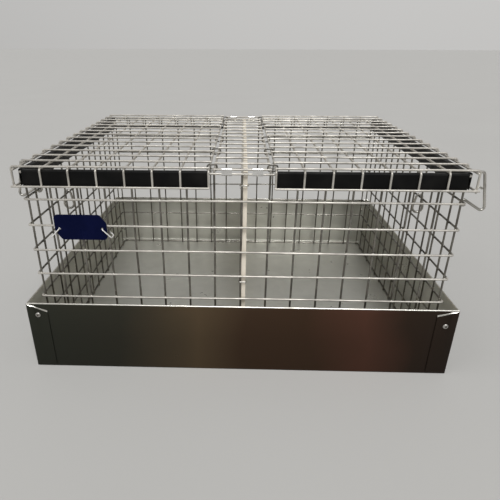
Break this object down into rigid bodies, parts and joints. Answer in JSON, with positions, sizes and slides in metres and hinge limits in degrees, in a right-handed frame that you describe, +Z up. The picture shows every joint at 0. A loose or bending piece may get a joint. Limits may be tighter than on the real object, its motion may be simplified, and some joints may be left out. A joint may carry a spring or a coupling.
{
  "type": "rabbit cage",
  "caption": "Carrying cage of welded wire mesh with a solid divider, black strips on its rims, hinged mesh lids and side latches, standing in a sheet-metal tray.",
  "frame": {"origin": "on the floor, under the middle of the tray", "axes": "+X to the right along the front, +Y from the front to the back, +Z up"},
  "size_m": [0.4488, 0.3822, 0.2118],
  "materials": {
    "galvanised_sheet": "galvanised, dull",
    "rivet_metal": "satin",
    "mesh_wire": "bright galvanised",
    "clip_metal": "bright",
    "divider_sheet": "satin, pale",
    "ring_wire": "dull, dark",
    "black_plastic": "matt",
    "latch_wire": "bright galvanised",
    "link_wire": "dull",
    "tag_blue": "semi-gloss, unprinted"
  },
  "bodies": {
    "tray": {"tray_pan": "galvanised_sheet", "tray_rivets": "rivet_metal"},
    "cage": {"front_wall": "mesh_wire", "back_wall": "mesh_wire", "left_wall": "mesh_wire", "right_wall": "mesh_wire", "top_strip": "mesh_wire", "strip_clips": "clip_metal", "divider": "divider_sheet", "divider_ties": "ring_wire", "left_hinge_rings": "ring_wire", "right_hinge_rings": "ring_wire", "left_front_strip": "black_plastic", "left_side_strip": "black_plastic", "left_back_strip": "black_plastic", "right_front_strip": "black_plastic", "right_side_strip": "black_plastic", "right_back_strip": "black_plastic", "tag": "tag_blue", "tag_rings": "ring_wire"},
    "left_lid": {"left_lid": "mesh_wire"},
    "right_lid": {"right_lid": "mesh_wire"},
    "left_latch": {"left_latch": "latch_wire", "left_finger": "latch_wire"},
    "right_latch": {"right_latch": "latch_wire", "right_finger": "latch_wire"},
    "left_link": {"left_link": "link_wire"},
    "right_link": {"right_link": "link_wire"}
  },
  "joints": [
    {"name": "cage_lift", "type": "slide", "parent": "tray", "child": "cage", "axis": [0, 0, 1], "range_m": [0, 0.09]},
    {"name": "left_lid_hinge", "type": "hinge", "parent": "cage", "child": "left_lid", "pos_m": [-0.0302, 0, 0.2088], "axis": [0, 1, 0], "range_deg": [0, 95]},
    {"name": "right_lid_hinge", "type": "hinge", "parent": "cage", "child": "right_lid", "pos_m": [0.0302, 0, 0.2088], "axis": [0, -1, 0], "range_deg": [0, 95]},
    {"name": "left_latch_pivot", "type": "hinge", "parent": "cage", "child": "left_latch", "pos_m": [-0.2032, -0.1398, 0.1799], "axis": [0, -1, 0], "range_deg": [0, 55]},
    {"name": "right_latch_pivot", "type": "hinge", "parent": "cage", "child": "right_latch", "pos_m": [0.2032, -0.17078, 0.1799], "axis": [0, 1, 0], "range_deg": [0, 55]},
    {"name": "left_link_swing", "type": "hinge", "parent": "cage", "child": "left_link", "pos_m": [-0.2032, -0.0635, 0.1545], "axis": [0, 1, 0], "range_deg": [-60, 60]},
    {"name": "right_link_swing", "type": "hinge", "parent": "cage", "child": "right_link", "pos_m": [0.2032, -0.0635, 0.1545], "axis": [0, -1, 0], "range_deg": [-60, 60]}
  ]
}
